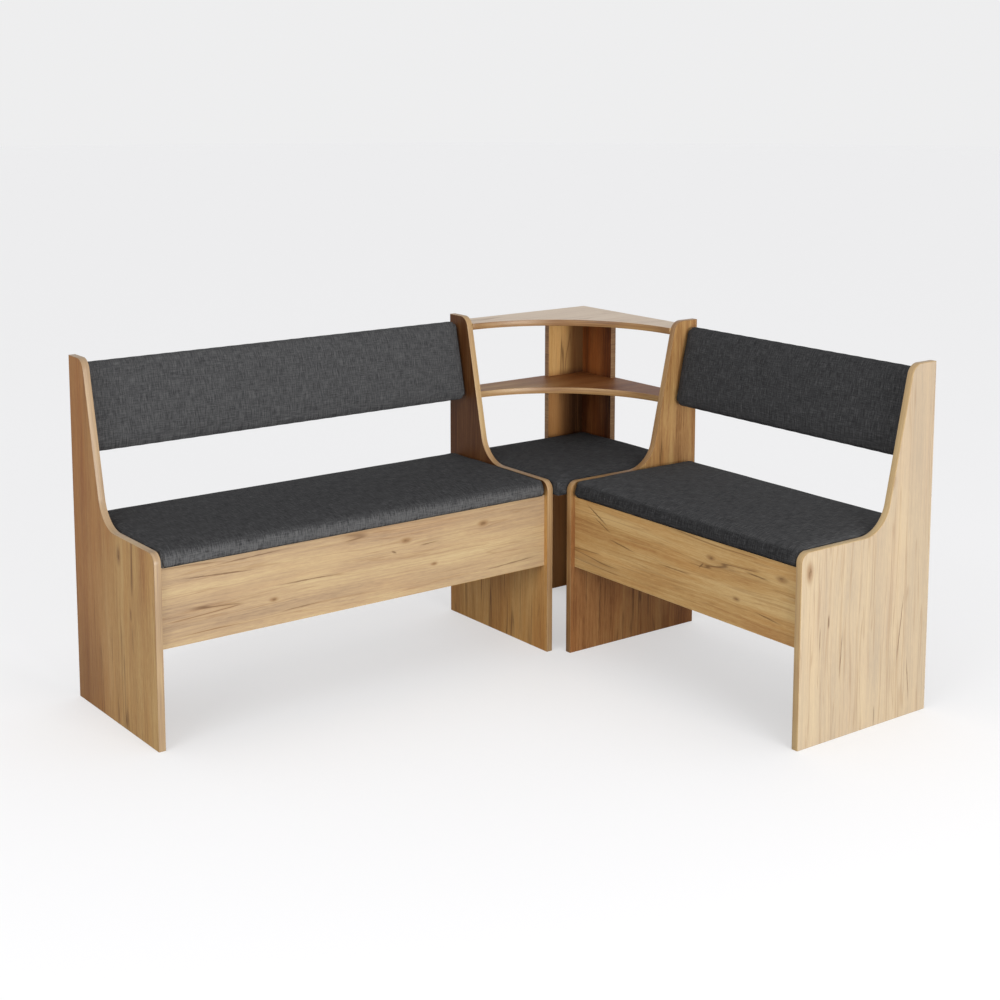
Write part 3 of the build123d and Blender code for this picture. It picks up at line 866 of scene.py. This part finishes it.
def makePad(name, look):
    flat = flatten(look)
    board = flatCopy(name + "_board", flat)
    boardLow, boardHigh = boxOf(board.verts)
    board.free()
    shape = flatCopy(name + "_cushion", flat)
    low, high = boxOf(shape.verts)
    margin = Vector.Fill(3, padLook["recessMargin"])
    inLow = boardLow - margin
    inHigh = boardHigh + margin
    recess = [face for face in shape.faces if all(
        inLow[i] < face.calc_center_median()[i] < inHigh[i] for i in range(3))]
    bmesh.ops.delete(shape, geom=recess, context="FACES")
    bmesh.ops.holes_fill(shape, edges=[edge for edge in shape.edges if edge.is_boundary])
    bmesh.ops.recalc_face_normals(shape, faces=shape.faces)
    pad = addPiece(name + "_pad", shape)
    remesh = pad.modifiers.new("even", "REMESH")
    remesh.mode = "VOXEL"
    remesh.voxel_size = padLook["voxel"]
    applied(pad)
    swell(pad, boardHigh.z)
    smooth = pad.modifiers.new("finer", "SUBSURF")
    smooth.levels = 1
    smooth.render_levels = 1
    applied(pad)
    fitPad(pad, low, high + Vector((0, 0, look["puff"])))
    dressPad(pad, low, high)
    cutAway(pad, boardRoom(boardLow, boardHigh))
    if look["turnIn"]:
        turnIn(pad, low, high)
        stapleRow(name, look, low, high)
    pad.data.transform(flat.inverted())
    pad.data.materials.clear()
    pad.data.materials.append(slubCloth("slub_cloth_" + name, **cloths[name]))
    smoothed(pad, "cloth")
    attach(pad, look["body"])
    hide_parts(name + "_cushion")
    print("pad", name, len(pad.data.polygons), "faces")


staple = makeStaple()
for name, look in pads.items():
    makePad(name, look)


# Cams and screw heads with a cross recess, each made once with its top at zero and stamped where it belongs
headLook = {
    "cam": {"radius": 0.0075, "low": -0.0125, "high": 0.0, "rim": 0.0005, "slot": (0.0092, 0.0018, 0.003)},
    "postScrew": {
        "radius": 0.0047, "low": -0.0035, "high": 0.0, "rim": 0.0004, "slot": (0.0056, 0.0012, 0.002),
    },
    "smallScrew": {
        "radius": 0.0034, "low": -0.0004, "high": 0.0011, "rim": 0.0009, "slot": (0.0038, 0.0009, 0.001),
    },
}
shankLook = {"radius": 0.0031, "low": -0.046, "high": -0.0035, "segments": 20}
headTurn = 0.7


def turned(radius, low, high, segments=40):
    shape = bmesh.new()
    bmesh.ops.create_cone(
        shape, cap_ends=True, segments=segments, radius1=radius, radius2=radius, depth=high - low,
        matrix=Matrix.Translation((0, 0, (low + high) / 2)))
    return shape


def makeHead(name, look):
    shape = turned(look["radius"], look["low"], look["high"])
    rim = [edge for edge in shape.edges if all(vert.co.z > look["high"] - 1e-6 for vert in edge.verts)]
    bmesh.ops.bevel(
        shape, geom=rim, offset=look["rim"], offset_type="OFFSET", affect="EDGES", segments=3, profile=0.5,
        material=-1, clamp_overlap=True)
    head = addPiece(name, shape)
    long, wide, deep = look["slot"]
    for size in ((long, wide, 2 * deep), (wide, long, 2 * deep)):
        bar = bmesh.new()
        place = Matrix.Translation((0, 0, look["high"]))
        bmesh.ops.create_cube(bar, size=1.0, matrix=place @ Matrix.Diagonal((*size, 1)))
        cutAway(head, bar)
    return head


# Places are (point, outward direction); each head is turned a little further than the one before
def stampHeads(name, sources, places, body, replaced=None):
    turns = []
    for number, (point, outward) in enumerate(places):
        turn = Vector((0, 0, 1)).rotation_difference(Vector(outward)).to_matrix().to_4x4()
        turns.append(Matrix.Translation(point) @ turn @ Matrix.Rotation(number * headTurn, 4, "Z"))
    stamp(name, sources, turns, body, replaced)


# Boxes of a node's separate solids
def looseParts(node, flat=Matrix.Identity(4)):
    shape = flatCopy(node, flat)
    parts = []
    for seed in shape.verts:
        if seed.tag:
            continue
        seed.tag = True
        group = [seed]
        for vert in group:
            for edge in vert.link_edges:
                other = edge.other_vert(vert)
                if not other.tag:
                    other.tag = True
                    group.append(other)
        parts.append(boxOf(group))
    shape.free()
    return parts


# A point on a box: the middle, moved to one face, and by an amount along a second axis
def onBox(low, high, outward, along=None, amount=0.0):
    point = (low + high) / 2
    for i in range(3):
        if outward[i]:
            point[i] = high[i] if outward[i] > 0 else low[i]
    if along:
        point = point + Vector(along) * amount
    return point


screwSpots = {
    "hingeReach": 0.019, "leafThick": 0.0015, "leafInset": 0.009,
    "bracketThick": 0.002, "bracketInset": 0.008, "armShift": 0.004,
    "cleatReach": 0.34, "postCleatReach": 0.28,     # shares of a cleat's length
    "postNear": 0.03,
}


def fixBench(bench, depthAxis, alongAxis, pad):
    back = Vector(depthAxis)
    along = Vector(alongAxis)
    chestLow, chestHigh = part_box(bench + "_chest_bottom")
    chest = (chestLow + chestHigh) / 2
    cams = []
    for low, high in looseParts(bench + "_cams"):
        outward = back if ((low + high) / 2 - chest).dot(back) < 0 else -back
        cams.append((onBox(low, high, outward), outward))
    stampHeads(bench + "_cam_discs", (heads["cam"],), cams, "frame", bench + "_cams")
    railScrews = []
    for low, high in looseParts(bench + "_hinge_rail_leaves"):
        for side in (-1, 1):
            point = onBox(low, high, back, along, side * screwSpots["hingeReach"])
            point -= back * ((high - low).dot(back) - screwSpots["leafThick"])
            point.z = low.z + screwSpots["leafInset"]
            railScrews.append((point, back))
    stampHeads(bench + "_rail_leaf_screws", (heads["smallScrew"],), railScrews, "frame")
    seatScrews = []
    for low, high in looseParts(bench + "_hinge_seat_leaves"):
        for side in (-1, 1):
            point = onBox(low, high, back, along, side * screwSpots["hingeReach"])
            point -= back * screwSpots["leafInset"]
            point.z = high.z - screwSpots["leafThick"]
            seatScrews.append((point, (0, 0, -1)))
    stampHeads(bench + "_seat_leaf_screws", (heads["smallScrew"],), seatScrews, bench + "_seat")
    flat = flatten(pad)
    upright = flat.inverted()
    middle = flat @ ((sum(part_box(bench + "_back_board"), Vector())) / 2)
    bracketScrews = []
    for low, high in looseParts(bench + "_back_brackets", flat):
        point = onBox(low, high, (0, 0, 0))
        inward = along if (middle - point).dot(along) > 0 else -along
        arm = point + inward * screwSpots["armShift"]
        arm.z = high.z - screwSpots["bracketThick"]
        leg = onBox(low, high, -inward) + inward * screwSpots["bracketThick"]
        leg.z = low.z + screwSpots["bracketInset"]
        bracketScrews.append((upright @ arm, upright.to_3x3() @ Vector((0, 0, -1))))
        bracketScrews.append((upright @ leg, upright.to_3x3() @ inward))
    stampHeads(bench + "_bracket_screws", (heads["smallScrew"],), bracketScrews, "frame")


def fixCorner():
    corner = Vector((cadBox[1][0], cadBox[1][1], 0))
    places = []
    for low, high in looseParts("corner_seat_cleats"):
        size = high - low
        longAxis = 0 if size.x > size.y else 1
        along = Vector((1, 0, 0)) if longAxis == 0 else Vector((0, 1, 0))
        across = Vector((0, 1, 0)) if longAxis == 0 else Vector((1, 0, 0))
        nearPost = (corner - high).dot(across) < screwSpots["postNear"]
        outward = -across if nearPost else across
        reach = screwSpots["postCleatReach" if nearPost else "cleatReach"] * size[longAxis]
        for amount in ((-reach, reach) if nearPost else (-reach, 0.0, reach)):
            places.append((onBox(low, high, outward, along, amount), outward))
    stampHeads("cleat_screws", (heads["smallScrew"],), places, "frame")
    screws = []
    for low, high in looseParts("post_screws"):
        size = high - low
        outward = Vector((0, 1, 0)) if size.y > size.x else Vector((1, 0, 0))
        screws.append((onBox(low, high, outward), outward))
    stampHeads("post_cross_screws", (heads["postScrew"], shank), screws, "frame", "post_screws")


heads = {name: makeHead(name, look) for name, look in headLook.items()}
shank = addPiece("shank", turned(**shankLook))
fixBench("long", (0, 1, 0), (1, 0, 0), pads["long_back"])
fixBench("short", (1, 0, 0), (0, 1, 0), pads["short_back"])
fixCorner()
for spare in (*heads.values(), shank, staple):
    bpy.data.objects.remove(spare)
print("cams and screws set")


# Floor, light and camera
stageLook = {
    "floorRadius": 26.0,
    "floorDrop": 0.0004,
    "floorColour": (0.5, 0.5, 0.505),
    "floorRoughness": 0.8,
    "floorSpecular": 0.1,
    "floorGlow": 0.46,          # only what the camera sees, so that the floor lights nothing
    "backdrop": (0.855, 0.855, 0.86),
    "sky": (0.74, 0.74, 0.75),
}
lamps = {
    "key": {"energy": 182.0, "size": (2.6, 1.5), "place": (-0.1, -4.7, 0.85), "aim": (0.1, 0.0, 0.4)},
    "fill": {"energy": 72.0, "size": (2.6, 1.8), "place": (-4.6, -1.6, 1.9), "aim": (0.0, 0.0, 0.4)},
}


def buildFloor():
    shape = bmesh.new()
    bmesh.ops.create_circle(shape, cap_ends=True, segments=96, radius=stageLook["floorRadius"])
    bmesh.ops.translate(shape, verts=shape.verts, vec=(0, 0, -stageLook["floorDrop"]))
    floor = addPiece("floor", shape)
    material, graph = startMaterial("pale_floor")[:2]
    seen = graph.node("ShaderNodeLightPath", out="Is Camera Ray")
    glow = mixed(graph, seen * stageLook["floorGlow"], (0, 0, 0, 1), (1, 1, 1, 1))
    endMaterial(graph, {
        "Base Color": (*stageLook["floorColour"], 1), "Roughness": stageLook["floorRoughness"],
        "Specular IOR Level": stageLook["floorSpecular"],
        "Emission Color": glow, "Emission Strength": 1.0})
    floor.data.materials.append(material)


def buildLight():
    world = bpy.data.worlds.new("studio")
    world.use_nodes = True
    world.node_tree.nodes.clear()
    graph = Shade(world.node_tree)
    seen = graph.node("ShaderNodeLightPath", out="Is Camera Ray")
    tint = mixed(graph, seen, (*stageLook["sky"], 1), (*stageLook["backdrop"], 1))
    sky = graph.node("ShaderNodeBackground", None, {"Color": tint, "Strength": 1.0})
    graph.node("ShaderNodeOutputWorld", None, {"Surface": sky})
    bpy.context.scene.world = world
    for name, look in lamps.items():
        lamp = bpy.data.lights.new(name, "AREA")
        lamp.shape = "RECTANGLE"
        lamp.energy = look["energy"]
        lamp.size = look["size"][0]
        lamp.size_y = look["size"][1]
        light = bpy.data.objects.new(name, lamp)
        light.location = look["place"]
        aim = Vector(look["aim"]) - light.location
        light.rotation_euler = aim.to_track_quat("-Z", "Y").to_euler()
        bpy.context.scene.collection.objects.link(light)


cameraLook = {
    "place": (-2.2611, -3.0169, 1.4574),
    "azimuth": -36.62,
    "elevation": 8.0,
    "lens": 62.0,
    "shiftX": 0.0088,
    "shiftY": -0.2,
}


def buildCamera():
    lens = bpy.data.cameras.new("camera")
    lens.sensor_width = 36
    lens.lens = cameraLook["lens"]
    lens.shift_x = cameraLook["shiftX"]
    lens.shift_y = cameraLook["shiftY"]
    camera = bpy.data.objects.new("camera", lens)
    turn = math.radians(cameraLook["azimuth"])
    rise = math.radians(cameraLook["elevation"])
    back = Vector((math.sin(turn) * math.cos(rise), -math.cos(turn) * math.cos(rise), math.sin(rise)))
    camera.location = cameraLook["place"]
    camera.rotation_euler = (-back).to_track_quat("-Z", "Y").to_euler()
    bpy.context.scene.collection.objects.link(camera)
    bpy.context.scene.camera = camera


buildFloor()
buildLight()
buildCamera()
bpy.context.scene.view_settings.view_transform = "Standard"
print("stage and camera set")
